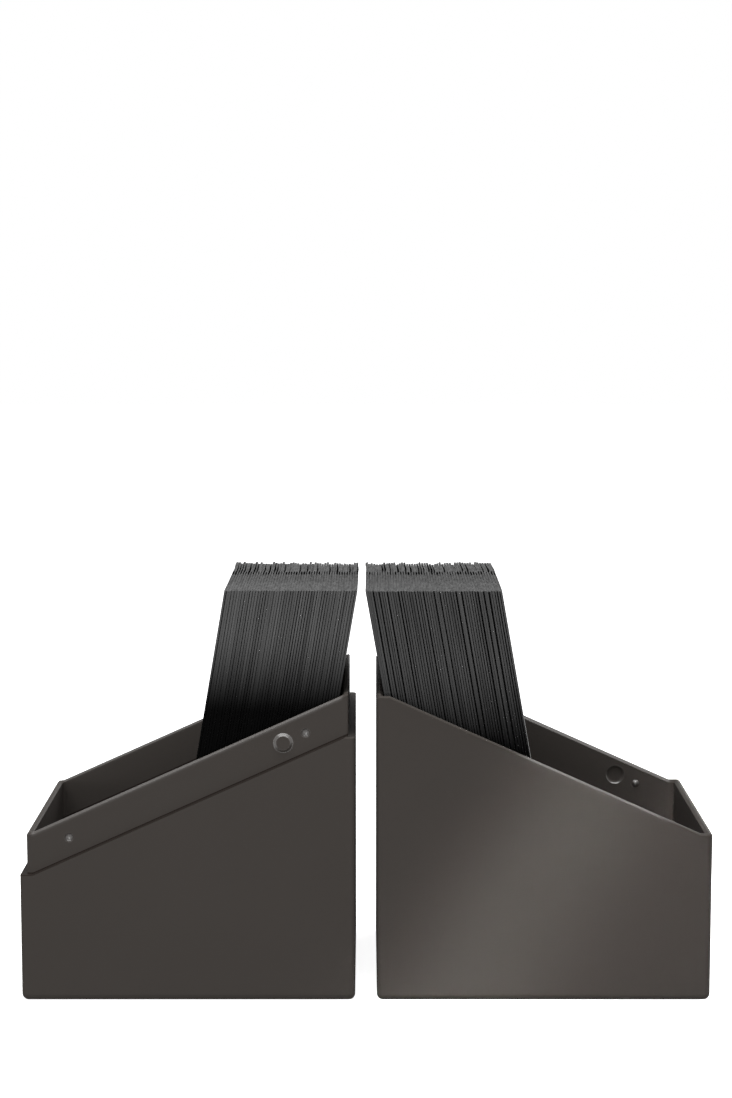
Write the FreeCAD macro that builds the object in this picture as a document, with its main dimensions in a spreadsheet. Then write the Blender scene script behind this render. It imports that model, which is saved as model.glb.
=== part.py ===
import FreeCAD, Part
import math
import os

import Sketcher

# A box for sleeved playing cards, in two moulded halves that part along a slanted line.
# The halves stand side by side on their closed ends, each with a deck leaning on its tall end wall.
# The base, at -X, has a thin collar above its shoulder. The lid, at +X, has the thin rim that
# slips over that collar when the lid is turned over about X and set down on the base.
#
# Assembly frame: +Z up, the table at z = 0, y = 0 at mid depth with the front at -Y,
# x = 0 in the middle of the gap between the halves. Lengths are in millimetres, angles in degrees.
# Frame of each half: x = 0 at the outer face of its left end wall, y = 0 at mid depth, z = 0 underneath.

SIZES = [
    ("box_width", 74.9, "outer length of a half across the stack of cards"),
    ("halves_gap", 4.85, "space between the two halves where they stand"),
    ("sleeve_width", 66.0, "outer sleeve, across"),
    ("sleeve_height", 91.0, "outer sleeve, upright"),
    ("side_room", 1.9, "space between a sleeve and the front or back wall"),
    ("head_room", 2.8, "space above the cards in the closed box"),
    ("wall", 2.8, "full wall of both halves"),
    ("floor", 2.0, "floor of both halves"),
    ("rim_wall", 1.4, "thin wall of the lid beside the collar"),
    ("close_gap", 0.1, "play between collar and lid rim, all round"),
    ("base_short_side", 28.8, "height of the base's low shoulder"),
    ("split_angle", 24.05, "slope of the parting line"),
    ("collar_rise", 9.25, "collar above the shoulder, measured upright"),
    ("ledge_drop", 10.1, "inner ledge below the lid's rim, measured upright"),
    ("corner_radius", 1.0, "outer upright corners"),
    ("foot_radius", 1.5, "outer edge round the closed end"),
    ("collar_corner", 0.5, "upright corners of the collar"),
    ("rim_corner", 0.6, "upright corners inside the lid's rim"),
    ("cavity_corner", 1.0, "corners and floor edge of both cavities"),
    ("shoulder_break", 0.15, "chamfer on the base's shoulder"),
    ("rim_break", 0.35, "chamfer outside the lid's rim"),
    ("collar_bevel", 0.4, "chamfers outside and inside the collar's rim"),
    ("lead_in", 0.6, "chamfer inside the lid's rim"),
    ("snap_rise", 4.55, "snap features above the shoulder, and below the lid's rim"),
    ("snap_inset", 11.0, "snap dimples from the outer end faces"),
    ("button_step", 5.0, "snap button from the dimple beside it"),
    ("dimple_radius", 1.05, "mouth of a snap dimple"),
    ("dimple_depth", 0.7, "depth of a snap dimple"),
    ("button_radius", 2.15, "snap button at its foot"),
    ("button_bevel", 0.6, "slanted edge of the snap button, measured across"),
    ("button_rise", 0.5, "snap button above the collar"),
    ("snap_gap", 0.1, "play between a snap feature and its partner"),
    ("card_width", 63.0, "card inside the sleeves, across"),
    ("card_height", 88.0, "card inside the sleeves, upright"),
    ("seam", 1.0, "welded foot of the sleeve below the card"),
    ("film", 0.24, "sleeve edge outside the card, all layers"),
    ("sleeved_card", 0.56, "card with both sleeves"),
    ("base_card_gap", 0.024, "air between neighbouring cards in the base"),
    ("lid_card_gap", 0.04, "air between neighbouring cards in the lid"),
    ("packet_cards", 5, "cards in a packet"),
    ("base_lean_angle", 9.8, "lean of the cards in the base, from upright"),
    ("lid_lean_angle", 10.1, "lean of the cards in the lid, from upright"),
    ("foot_gap", 0.2, "clearance under both decks"),
    ("base_rest_gap", 0.55, "clearance of the base's deck from the rim it leans on"),
    ("lid_rest_gap", 0.1, "clearance of the lid's deck from the rim it leans on"),
]
PACKETS_PER_DECK = 10

# Expressions that several pieces share, so that mating faces follow the same sizes.
BOX_DEPTH = "(sizes.sleeve_width + 2 * sizes.side_room + 2 * sizes.wall)"
BOX_HEIGHT = "(sizes.sleeve_height + sizes.head_room + 2 * sizes.floor)"
SLOPE = "tan(sizes.split_angle)"
STEP = "(sizes.rim_wall + sizes.close_gap)"
SPLIT_RISE = f"((sizes.box_width - 2 * sizes.wall) * {SLOPE})"
BASE_TALL_SIDE = f"(sizes.base_short_side + {SPLIT_RISE})"
LID_TALL_SIDE = f"({BOX_HEIGHT} - sizes.base_short_side)"
LID_SHORT_SIDE = f"({LID_TALL_SIDE} - {SPLIT_RISE})"
FAR_WALL = "(sizes.box_width - sizes.wall)"
BASE_PITCH = "(sizes.sleeved_card + sizes.base_card_gap)"
LID_PITCH = "(sizes.sleeved_card + sizes.lid_card_gap)"
BASE_X = "(-sizes.halves_gap / 2 - sizes.box_width)"
LID_X = "(sizes.halves_gap / 2)"

doc = FreeCAD.newDocument("card_box")


# ---------------------------------------------------------------- sheet and helpers


def make_sheet():
    """Fills the sheet: a name, its value with that name as alias, and what it is."""
    sheet = doc.addObject("Spreadsheet::Sheet", "sizes")
    for row, (name, value, meaning) in enumerate(SIZES, start=1):
        sheet.set(f"A{row}", name)
        sheet.set(f"B{row}", str(value))
        sheet.set(f"C{row}", meaning)
        sheet.setAlias(f"B{row}", name)
    doc.recompute()
    return sheet


def number(expression):
    """The value that an expression has now, in the document's own units."""
    value = sheet.evalExpression(expression)
    return float(getattr(value, "Value", value))


def origin_plane(body, role):
    """One of the body's own origin planes or axes."""
    return next(item for item in body.Origin.OriginFeatures if item.Role == role)


def make_body(name):
    body = doc.addObject("PartDesign::Body", name)
    body.Label = name
    return body


def make_sketch(body, name, role="XZ_Plane", offset=None):
    """A sketch flat on one of the body's planes, moved in that plane's frame by three expressions."""
    sketch = body.newObject("Sketcher::SketchObject", name)
    sketch.AttachmentSupport = [(origin_plane(body, role), "")]
    sketch.MapMode = "FlatFace"
    for axis, expression in zip("xyz", offset or ()):
        sketch.setExpression(f".AttachmentOffset.Base.{axis}", expression)
    return sketch


def pin(sketch, kind, geometry, point, expression, name):
    """Holds a point at a distance from the sketch's origin, along X or Y."""
    if expression == "0":
        axis = -2 if kind == "DistanceX" else -1
        sketch.addConstraint(Sketcher.Constraint("PointOnObject", geometry, point, axis))
        return
    place = sketch.addConstraint(
        Sketcher.Constraint(kind, -1, 1, geometry, point, number(expression))
    )
    sketch.renameConstraint(place, name)
    sketch.setExpression(f"Constraints.{name}", expression)


def draw_outline(sketch, corners):
    """A closed outline of straight lines whose corners are pairs of expressions."""
    points = [FreeCAD.Vector(number(across), number(up), 0) for across, up in corners]
    count = len(points)
    for i in range(count):
        sketch.addGeometry(Part.LineSegment(points[i], points[(i + 1) % count]), False)
    for i in range(count):
        sketch.addConstraint(Sketcher.Constraint("Coincident", i, 2, (i + 1) % count, 1))
    for i, (across, up) in enumerate(corners):
        pin(sketch, "DistanceX", i, 1, across, f"across_{i}")
        pin(sketch, "DistanceY", i, 1, up, f"up_{i}")
    return sketch


def swept_in_depth(body, kind, name, corners, depth):
    """Pads or pockets a side outline by the same amount in front of and behind mid depth."""
    sketch = draw_outline(make_sketch(body, f"{name}_outline"), corners)
    feature = body.newObject(f"PartDesign::{kind}", name)
    feature.Profile = (sketch, [""])
    feature.SideType = "Symmetric"
    feature.setExpression("Length", depth)
    sketch.Visibility = False
    doc.recompute()
    return feature


def dress_edges(body, kind, name, size_name, size, chosen):
    """Adds a Fillet or Chamfer to the edges of the body's last feature for which chosen(edge) is true."""
    base = body.Tip
    names = [
        f"Edge{i}" for i, edge in enumerate(base.Shape.Edges, start=1) if chosen(edge)
    ]
    if not names:
        raise ValueError(f"{name} found no edge to work on")
    feature = body.newObject(f"PartDesign::{kind}", name)
    feature.Base = (base, names)
    feature.setExpression(size_name, size)
    doc.recompute()
    return feature


def round_edges(body, name, radius, chosen):
    """Fillets the chosen edges."""
    return dress_edges(body, "Fillet", name, "Radius", radius, chosen)


def chamfer_edges(body, name, size, chosen):
    """Chamfers the chosen edges at 45 degrees."""
    return dress_edges(body, "Chamfer", name, "Size", size, chosen)


def upright(edge):
    """True for a straight upright edge."""
    return edge.BoundBox.XLength < TOUCH and edge.BoundBox.YLength < TOUCH


def upright_at(inset):
    """Picks the upright edges that stand this far in from the outer corners."""
    near, far = number(inset), number("sizes.box_width") - number(inset)
    depth = number(BOX_DEPTH) / 2 - number(inset)

    def chosen(edge):
        centre = edge.BoundBox.Center
        at_end = min(abs(centre.x - near), abs(centre.x - far)) < TOUCH
        return upright(edge) and at_end and abs(abs(centre.y) - depth) < TOUCH

    return chosen


def level_at(height):
    """Picks the edges that lie at one height."""
    z = number(height)

    def chosen(edge):
        return abs(edge.BoundBox.ZMin - z) < TOUCH and abs(edge.BoundBox.ZMax - z) < TOUCH

    return chosen


def along_line(height_at):
    """Picks the edges whose ends and middle all lie on a side line, z = height_at(x)."""

    def chosen(edge):
        middle = edge.valueAt((edge.FirstParameter + edge.LastParameter) / 2)
        points = [vertex.Point for vertex in edge.Vertexes] + [middle]
        return all(abs(point.z - height_at(point.x)) < TOUCH for point in points)

    return chosen


def either(*tests):
    """Picks the edges that any of the tests picks."""
    return lambda edge: any(test(edge) for test in tests)


def inset_of(edge):
    """How far in from the nearest outer side face the middle of an edge lies."""
    middle = edge.valueAt((edge.FirstParameter + edge.LastParameter) / 2)
    half_width, half_depth = number("sizes.box_width") / 2, number(BOX_DEPTH) / 2
    return min(half_width - abs(middle.x - half_width), half_depth - abs(middle.y))


def outer_ring(test, limit):
    """Narrows a test to the edges that lie less than this far in from the side faces."""
    return lambda edge: test(edge) and inset_of(edge) < number(limit) - TOUCH


def inner_ring(test, limit):
    """Narrows a test to the edges that lie at least this far in from the side faces."""
    return lambda edge: test(edge) and inset_of(edge) > number(limit) - TOUCH


def turned(body, kind, name, place, outline):
    """Turns a small outline about the depth direction: a boss (Revolution) or a dent (Groove).

    place is the centre of its mouth. outline draws the profile beside the axis, in sketch X and Y,
    with Y along +Y of the half.
    """
    sketch = make_sketch(body, f"{name}_profile", "XY_Plane", place)
    outline(sketch)
    feature = body.newObject(f"PartDesign::{kind}", name)
    feature.Profile = (sketch, [""])
    feature.ReferenceAxis = (sketch, ["V_Axis"])
    sketch.Visibility = False
    doc.recompute()
    return feature


def button_outline(radius, thickness):
    """The profile of a flat disc with a slanted edge, widest at its mouth, thickness along +Y."""
    top = f"{radius} - sizes.button_bevel"
    corners = [("0", "0"), (radius, "0"), (top, thickness), ("0", thickness)]
    return lambda sketch: draw_outline(sketch, corners)


def cap_outline(radius, height, towards):
    """The profile of a shallow round cap on a mouth of this radius, bulging towards +1 or -1 along Y."""

    def outline(sketch):
        rim, top = number(radius), number(height)
        ball = (rim * rim + top * top) / (2 * top)
        centre = FreeCAD.Vector(0, towards * (top - ball), 0)
        tip = FreeCAD.Vector(0, towards * top, 0)
        mouth = FreeCAD.Vector(rim, 0, 0)
        half_way = centre + (tip - centre + mouth - centre).normalize() * ball
        origin = FreeCAD.Vector(0, 0, 0)
        sketch.addGeometry(Part.LineSegment(origin, mouth), False)
        sketch.addGeometry(Part.Arc(mouth, half_way, tip), False)
        sketch.addGeometry(Part.LineSegment(tip, origin), False)
        arc_start, arc_end = (1, 2) if towards > 0 else (2, 1)
        sketch.addConstraint(Sketcher.Constraint("Coincident", 0, 1, -1, 1))
        sketch.addConstraint(Sketcher.Constraint("Coincident", 0, 2, 1, arc_start))
        sketch.addConstraint(Sketcher.Constraint("Coincident", 1, arc_end, 2, 1))
        sketch.addConstraint(Sketcher.Constraint("Coincident", 2, 2, 0, 1))
        sketch.addConstraint(Sketcher.Constraint("PointOnObject", 1, 3, -2))
        pin(sketch, "DistanceX", 0, 2, radius, "mouth_across")
        pin(sketch, "DistanceY", 0, 2, "0", "mouth_up")
        pin(sketch, "DistanceX", 2, 1, "0", "tip_across")
        pin(sketch, "DistanceY", 2, 1, f"{towards} * ({height})", "tip_up")

    return outline


def mirror_to_back(body, name, features):
    """Repeats features of the front wall on the back wall."""
    mirror = body.newObject("PartDesign::Mirrored", name)
    mirror.Originals = features
    mirror.MirrorPlane = (origin_plane(body, "XZ_Plane"), [""])
    body.Tip = mirror
    doc.recompute()
    return mirror


# Two faces or edges nearer than this count as one.
TOUCH = 1e-4

sheet = make_sheet()


# ---------------------------------------------------------------- the parting line


def split_height(across):
    """Height of the base's shoulder over a point, as an expression: level over the end walls, sloped between."""
    return f"(sizes.base_short_side + ({across} - sizes.wall) * {SLOPE})"


def shoulder_z(x):
    """The same in numbers, for any x along the half."""
    run = min(max(x - number("sizes.wall"), 0), number(f"{FAR_WALL} - sizes.wall"))
    return number("sizes.base_short_side") + run * number(SLOPE)


def collar_z(x):
    """Height of the collar's rim: it runs on up the slope over the far end wall."""
    run = max(x - number("sizes.wall"), 0)
    return number("sizes.base_short_side + sizes.collar_rise") + run * number(SLOPE)


def rim_z(x):
    """Height of the lid's rim as the lid stands on its closed end."""
    return number(BOX_HEIGHT) - shoulder_z(x)


# Snap features along X: a dimple near each end, and the button beside the far dimple.
NEAR_DIMPLE = "sizes.snap_inset"
FAR_DIMPLE = "(sizes.box_width - sizes.snap_inset)"
BUTTON = f"({FAR_DIMPLE} - sizes.button_step)"


# ---------------------------------------------------------------- base half

COLLAR_FACE = f"(-({BOX_DEPTH} / 2 - {STEP}))"
COLLAR_END = f"(sizes.box_width - {STEP})"


def make_base_shell():
    body = make_body("base_shell")
    low, tall = "sizes.base_short_side", BASE_TALL_SIDE
    block = [
        ("0", "0"),
        ("sizes.box_width", "0"),
        ("sizes.box_width", tall),
        (FAR_WALL, tall),
        ("sizes.wall", low),
        ("0", low),
    ]
    swept_in_depth(body, "Pad", "base_block", block, BOX_DEPTH)
    round_edges(body, "base_corners", "sizes.corner_radius", upright_at("0"))
    round_edges(body, "base_foot", "sizes.foot_radius", level_at("0"))
    shoulder = outer_ring(along_line(shoulder_z), STEP)
    chamfer_edges(body, "shoulder_edge", "sizes.shoulder_break", shoulder)

    collar_low = f"({low} + sizes.collar_rise)"
    collar_tall = f"({split_height(COLLAR_END)} + sizes.collar_rise)"
    collar = [
        (STEP, "sizes.floor"),
        (COLLAR_END, "sizes.floor"),
        (COLLAR_END, collar_tall),
        ("sizes.wall", collar_low),
        (STEP, collar_low),
    ]
    swept_in_depth(body, "Pad", "collar", collar, f"{BOX_DEPTH} - 2 * {STEP}")
    round_edges(body, "collar_corners", "sizes.collar_corner", upright_at(STEP))

    cavity = [
        ("sizes.wall", "sizes.floor"),
        (FAR_WALL, "sizes.floor"),
        (FAR_WALL, BOX_HEIGHT),
        ("sizes.wall", BOX_HEIGHT),
    ]
    swept_in_depth(body, "Pocket", "base_cavity", cavity, f"{BOX_DEPTH} - 2 * sizes.wall")
    floor_edges = either(upright_at("sizes.wall"), level_at("sizes.floor"))
    round_edges(body, "base_cavity_corners", "sizes.cavity_corner", floor_edges)
    chamfer_edges(body, "collar_bevels", "sizes.collar_bevel", along_line(collar_z))

    dimple = cap_outline("sizes.dimple_radius", "sizes.dimple_depth", 1)
    button = button_outline("sizes.button_radius", "-sizes.button_rise")
    snaps = []
    for kind, name, across, outline in (
        ("Groove", "near_dimple", NEAR_DIMPLE, dimple),
        ("Revolution", "snap_button", BUTTON, button),
        ("Groove", "far_dimple", FAR_DIMPLE, dimple),
    ):
        place = (across, COLLAR_FACE, f"{split_height(across)} + sizes.snap_rise")
        snaps.append(turned(body, kind, name, place, outline))
    mirror_to_back(body, "snaps_at_back", snaps)
    body.setExpression(".Placement.Base.x", BASE_X)
    return body


# ---------------------------------------------------------------- lid half

RIM_FACE = f"({BOX_DEPTH} / 2 - sizes.rim_wall)"
RIM_END = "(sizes.box_width - sizes.rim_wall)"


def make_lid_shell():
    body = make_body("lid_shell")
    tall, low = LID_TALL_SIDE, LID_SHORT_SIDE
    block = [
        ("0", "0"),
        ("sizes.box_width", "0"),
        ("sizes.box_width", low),
        (FAR_WALL, low),
        ("sizes.wall", tall),
        ("0", tall),
    ]
    swept_in_depth(body, "Pad", "lid_block", block, BOX_DEPTH)
    round_edges(body, "lid_corners", "sizes.corner_radius", upright_at("0"))
    round_edges(body, "lid_foot", "sizes.foot_radius", level_at("0"))
    rim = along_line(rim_z)
    chamfer_edges(body, "rim_edge", "sizes.rim_break", outer_ring(rim, "sizes.rim_wall"))

    cavity = [
        ("sizes.wall", "sizes.floor"),
        (FAR_WALL, "sizes.floor"),
        (FAR_WALL, BOX_HEIGHT),
        ("sizes.wall", BOX_HEIGHT),
    ]
    swept_in_depth(body, "Pocket", "lid_cavity", cavity, f"{BOX_DEPTH} - 2 * sizes.wall")
    floor_edges = either(upright_at("sizes.wall"), level_at("sizes.floor"))
    round_edges(body, "lid_cavity_corners", "sizes.cavity_corner", floor_edges)

    ledge_tall = f"({tall} - sizes.ledge_drop)"
    ledge_low = f"({low} - sizes.ledge_drop)"
    rabbet = [
        ("sizes.rim_wall", ledge_tall),
        ("sizes.wall", ledge_tall),
        (FAR_WALL, ledge_low),
        (RIM_END, ledge_low),
        (RIM_END, BOX_HEIGHT),
        ("sizes.rim_wall", BOX_HEIGHT),
    ]
    swept_in_depth(body, "Pocket", "rim_recess", rabbet, f"{BOX_DEPTH} - 2 * sizes.rim_wall")
    chamfer_edges(body, "rim_lead_in", "sizes.lead_in", inner_ring(rim, "sizes.rim_wall"))
    round_edges(body, "rim_corners", "sizes.rim_corner", upright_at("sizes.rim_wall"))

    snap_radius = "sizes.dimple_radius - sizes.snap_gap"
    bump = cap_outline(snap_radius, "sizes.dimple_depth - sizes.snap_gap", -1)
    recess = button_outline("sizes.button_radius + sizes.snap_gap", "sizes.button_rise")
    snaps = []
    for kind, name, across, outline in (
        ("Revolution", "near_bump", NEAR_DIMPLE, bump),
        ("Groove", "button_recess", BUTTON, recess),
        ("Revolution", "far_bump", FAR_DIMPLE, bump),
    ):
        depth_under_rim = f"{BOX_HEIGHT} - {split_height(across)} - sizes.snap_rise"
        snaps.append(turned(body, kind, name, (across, RIM_FACE, depth_under_rim), outline))
    mirror_to_back(body, "snaps_at_front", snaps)
    body.setExpression(".Placement.Base.x", LID_X)
    return body


# ---------------------------------------------------------------- sleeved cards


def leaned_slab(body, name, foot, height, thickness, width, lean):
    """Pads a thin upright slab that leans towards +X about the middle of the card's foot.

    foot is how far up the card's middle line the slab starts; the other sizes are the slab's own.
    """
    sketch = make_sketch(body, f"{name}_outline")
    angle = math.radians(number(lean))
    along = FreeCAD.Vector(math.sin(angle), math.cos(angle), 0)
    across = FreeCAD.Vector(math.cos(angle), -math.sin(angle), 0) * (number(thickness) / 2)
    start = along * number(foot)
    end = start + along * number(height)
    corners = [start - across, start + across, end + across, end - across]
    for i in range(4):
        sketch.addGeometry(Part.LineSegment(corners[i], corners[(i + 1) % 4]), False)
    for i in range(4):
        sketch.addConstraint(Sketcher.Constraint("Coincident", i, 2, (i + 1) % 4, 1))
    for i in range(3):
        sketch.addConstraint(Sketcher.Constraint("Perpendicular", i, i + 1))
    middle, middle_end = -1, 1
    if foot != "0":
        stem = Part.LineSegment(FreeCAD.Vector(0, 0, 0), start)
        middle, middle_end = sketch.addGeometry(stem, True), 2
        sketch.addConstraint(Sketcher.Constraint("Coincident", middle, 1, -1, 1))
        sketch.addConstraint(Sketcher.Constraint("Parallel", middle, 1))
        size_line(sketch, middle, foot, "foot")
    sketch.addConstraint(Sketcher.Constraint("Symmetric", 0, 1, 0, 2, middle, middle_end))
    size_line(sketch, 0, thickness, "thickness")
    size_line(sketch, 1, height, "height")
    upright_angle = Sketcher.Constraint("Angle", 1, math.pi / 2 - angle)
    sketch.renameConstraint(sketch.addConstraint(upright_angle), "slant")
    sketch.setExpression("Constraints.slant", f"(90 - {lean}) * 1 deg")
    pad = body.newObject("PartDesign::Pad", name)
    pad.Profile = (sketch, [""])
    pad.SideType = "Symmetric"
    pad.setExpression("Length", width)
    sketch.Visibility = False
    return pad


def size_line(sketch, geometry, expression, name):
    """Gives a straight line its length."""
    length = Sketcher.Constraint("Distance", geometry, number(expression))
    sketch.renameConstraint(sketch.addConstraint(length), name)
    sketch.setExpression(f"Constraints.{name}", expression)


def make_packet(name, lean, pitch):
    """A few neighbouring sleeved cards, stacked towards +X and leaning that way.

    Each is a thin sleeve edge with the thicker card inside it. The origin is the middle of the
    first card's foot.
    """
    body = make_body(name)
    body.AllowCompound = True
    sleeve = leaned_slab(
        body, f"{name}_sleeve", "0", "sizes.sleeve_height", "sizes.film", "sizes.sleeve_width", lean
    )
    doc.recompute()
    card = leaned_slab(
        body, f"{name}_card", "sizes.seam", "sizes.card_height", "sizes.sleeved_card",
        "sizes.card_width", lean
    )
    doc.recompute()
    pattern = body.newObject("PartDesign::LinearPattern", f"{name}_stack")
    pattern.Originals = [sleeve, card]
    pattern.Direction = (origin_plane(body, "X_Axis"), [""])
    pattern.Mode = "Spacing"
    pattern.setExpression("Offset", f"{pitch} / cos({lean})")
    pattern.setExpression("Occurrences", "sizes.packet_cards")
    body.Tip = pattern
    doc.recompute()
    return body


def make_deck(name, half, pitch, contact_x, contact_z, towards):
    """A deck of packets that stands on a floor and leans on an inner edge of its half.

    contact_x and contact_z place that edge in the assembly. towards is +1 for a deck that leans
    towards +X and -1 for one that leans towards -X.
    """
    lean = f"sizes.{half}_lean_angle"
    step = f"({pitch} / cos({lean}))"
    foot_z = f"(sizes.floor + sizes.foot_gap + sizes.film / 2 * sin({lean}))"
    to_face = f"(sizes.{half}_rest_gap + sizes.sleeved_card / 2 / cos({lean}))"
    reach = f"({to_face} + ({contact_z} - {foot_z}) * tan({lean}))"
    packets = []
    for i in range(PACKETS_PER_DECK):
        body = make_packet(f"{name}_packet_{i + 1:02d}", lean, pitch)
        cards_behind = f"({i + 1} * sizes.packet_cards - 1)"
        body.setExpression(
            ".Placement.Base.x", f"{contact_x} - {towards} * ({reach} + {cards_behind} * {step})"
        )
        body.setExpression(".Placement.Base.z", foot_z)
        if towards < 0:
            body.Placement.Rotation = FreeCAD.Rotation(FreeCAD.Vector(0, 0, 1), 180)
        packets.append(body)
    doc.recompute()
    return packets


# ---------------------------------------------------------------- the whole part


def make_assembly():
    """Builds both halves and both decks, each deck against the inner edge that holds it."""
    base_edge_x = f"({BASE_X} + {FAR_WALL})"
    base_edge_z = f"({BASE_TALL_SIDE} + sizes.collar_rise)"
    lid_edge_x = f"({LID_X} + sizes.rim_wall)"
    pieces = [make_base_shell(), make_lid_shell()]
    pieces += make_deck("deck_a", "base", BASE_PITCH, base_edge_x, base_edge_z, 1)
    pieces += make_deck("deck_b", "lid", LID_PITCH, lid_edge_x, LID_TALL_SIDE, -1)
    return pieces


def check(pieces):
    """Stops if any object failed, or a piece is not the solids it should be."""
    for item in doc.Objects:
        if "Invalid" in item.State or "Error" in item.State:
            raise RuntimeError(f"{item.Name} did not build: {item.State}")
    cards = int(number("sizes.packet_cards"))
    for piece in pieces:
        solids = len(piece.Shape.Solids)
        expected = 1 if piece.Label.endswith("shell") else cards
        if piece.Shape.isNull() or not piece.Shape.isValid() or solids != expected:
            raise RuntimeError(f"{piece.Label} is not {expected} sound solids: {solids}")


def export(pieces):
    """Writes each piece to its own file."""
    os.makedirs("parts", exist_ok=True)
    for piece in pieces:
        piece.Shape.exportStep(f"parts/{piece.Label}.step")
        print(f"{piece.Label}: {piece.Shape.Volume:.1f} mm3, {len(piece.Shape.Solids)} solid(s)")


pieces = make_assembly()
doc.recompute()
check(pieces)
export(pieces)
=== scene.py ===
"""Looks of a card box in two slant-split halves, each holding a leaning deck of sleeved cards.

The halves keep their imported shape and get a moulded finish. The plain packets of cards are
replaced by modelled sleeves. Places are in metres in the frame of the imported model, +Z up, with
the front at -Y, and real sizes are written in millimetres and turned by mm().
"""

import logging
import math
import random
from collections.abc import Callable, Iterable
from dataclasses import dataclass, field
from enum import Enum

import bmesh
import bpy
from mathutils import Matrix, Vector


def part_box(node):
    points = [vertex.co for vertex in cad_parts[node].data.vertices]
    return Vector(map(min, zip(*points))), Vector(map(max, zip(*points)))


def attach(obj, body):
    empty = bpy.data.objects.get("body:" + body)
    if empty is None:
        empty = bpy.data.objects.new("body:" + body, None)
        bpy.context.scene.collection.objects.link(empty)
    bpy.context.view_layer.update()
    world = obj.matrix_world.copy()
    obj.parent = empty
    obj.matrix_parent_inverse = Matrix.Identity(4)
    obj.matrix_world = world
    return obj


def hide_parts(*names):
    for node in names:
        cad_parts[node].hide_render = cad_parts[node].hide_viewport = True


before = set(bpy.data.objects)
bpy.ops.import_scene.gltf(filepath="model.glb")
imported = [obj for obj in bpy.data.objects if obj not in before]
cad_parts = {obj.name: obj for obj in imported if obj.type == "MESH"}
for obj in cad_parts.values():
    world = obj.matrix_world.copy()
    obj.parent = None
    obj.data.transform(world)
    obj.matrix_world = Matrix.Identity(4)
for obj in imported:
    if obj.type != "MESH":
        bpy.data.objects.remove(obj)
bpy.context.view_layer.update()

log = logging.getLogger("card_box")

Colour = tuple[float, float, float, float]
Point = tuple[float, float, float]
Span = tuple[float, float]
Tree = bpy.types.NodeTree
Socket = bpy.types.NodeSocket

BLACK = "#000000"
WHITE = "#FFFFFF"
# A colour mix's two colours and its result, by number, because a mix has several of each name.
MIX_FROM, MIX_TO, MIXED = 6, 7, 2
# A noise texture stays in this span over most of a surface, and its streaks in the narrower one.
NOISE_SPAN: Span = (0.3, 0.7)
STREAK_SPAN: Span = (0.32, 0.66)
# A face looks along an axis where its normal's share of that axis is above this.
FACING = 0.9


def mm(length: float) -> float:
    """Turns a length in millimetres to metres."""
    return length / 1000


def linear(hex_colour: str) -> Colour:
    """Turns an sRGB hex colour to the linear RGBA that the nodes take.

    Args:
        hex_colour: A colour such as "#3F3B38".

    Returns:
        Linear red, green and blue, with an alpha of 1.
    """
    parts = [int(hex_colour[i : i + 2], 16) / 255 for i in (1, 3, 5)]
    shares = [c / 12.92 if c <= 0.04045 else ((c + 0.055) / 1.055) ** 2.4 for c in parts]
    return (shares[0], shares[1], shares[2], 1.0)


def add_node(
    tree: Tree, kind: str, inputs: dict[str | int, object] | None = None, **settings: object
) -> bpy.types.Node:
    """Adds a node with its settings, values and incoming links.

    Args:
        tree: The node tree that gets the node.
        kind: The node's type name.
        inputs: A value, or an output socket to link from, for each input by name or number.
        **settings: Attributes to set on the node, before its inputs.

    Returns:
        The new node.
    """
    node = tree.nodes.new(kind)
    for name, value in settings.items():
        setattr(node, name, value)
    for name, value in (inputs or {}).items():
        if isinstance(value, bpy.types.NodeSocket):
            tree.links.new(value, node.inputs[name])
        else:
            node.inputs[name].default_value = value
    return node


def spans(source: Span, target: Span = (0.0, 1.0)) -> dict[str | int, object]:
    """Names the inputs with which a map range turns one span to another, held at both ends.

    Args:
        source: The span that it maps from, which may run downwards.
        target: The span that it maps to.

    Returns:
        The four inputs, for add_node.
    """
    return {"From Min": source[0], "From Max": source[1], "To Min": target[0], "To Max": target[1]}


def window(tree: Tree, length: Socket, low: float, high: float, fade: float) -> Socket:
    """Picks out a stretch of a length. Its ends and fade are in millimetres.

    Args:
        tree: The node tree.
        length: The length's socket, in metres.
        low: Where the stretch starts.
        high: Where it ends.
        fade: How far inside each end it is full.

    Returns:
        A socket that is 1 in the stretch and falls to 0 at both ends.
    """
    rise_spans = spans((mm(low), mm(low + fade)))
    fall_spans = spans((mm(high), mm(high - fade)))
    rise = add_node(tree, "ShaderNodeMapRange", {"Value": length} | rise_spans)
    fall = add_node(tree, "ShaderNodeMapRange", {"Value": length} | fall_spans)
    ends = {0: rise.outputs["Result"], 1: fall.outputs["Result"]}
    return add_node(tree, "ShaderNodeMath", ends, operation="MINIMUM").outputs["Value"]


def streaks(tree: Tree, lean: float, width: float, length: float, low: float) -> Socket:
    """Makes streaks along leaning cards, so that a card or two are a little lighter or darker.

    Args:
        tree: The node tree.
        lean: The cards' turn about Y from upright, in degrees.
        width: The width of a streak across the cards, in millimetres.
        length: How many times longer than wide a streak is.
        low: The darkest streak's share of the full tone.

    Returns:
        A socket from low to 1.
    """
    turned = {
        "Vector": add_node(tree, "ShaderNodeTexCoord").outputs["Object"],
        "Rotation": (0.0, math.radians(lean), 0.0),
        "Scale": (1.0, length, length),
    }
    along = add_node(tree, "ShaderNodeMapping", turned, vector_type="TEXTURE").outputs["Vector"]
    grain = {"Vector": along, "Scale": 1 / mm(width), "Detail": 2.0, "Roughness": 0.6}
    noise = add_node(tree, "ShaderNodeTexNoise", grain).outputs["Fac"]
    shade = {"Value": noise} | spans(STREAK_SPAN, (low, 1.0))
    return add_node(tree, "ShaderNodeMapRange", shade).outputs["Result"]


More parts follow.
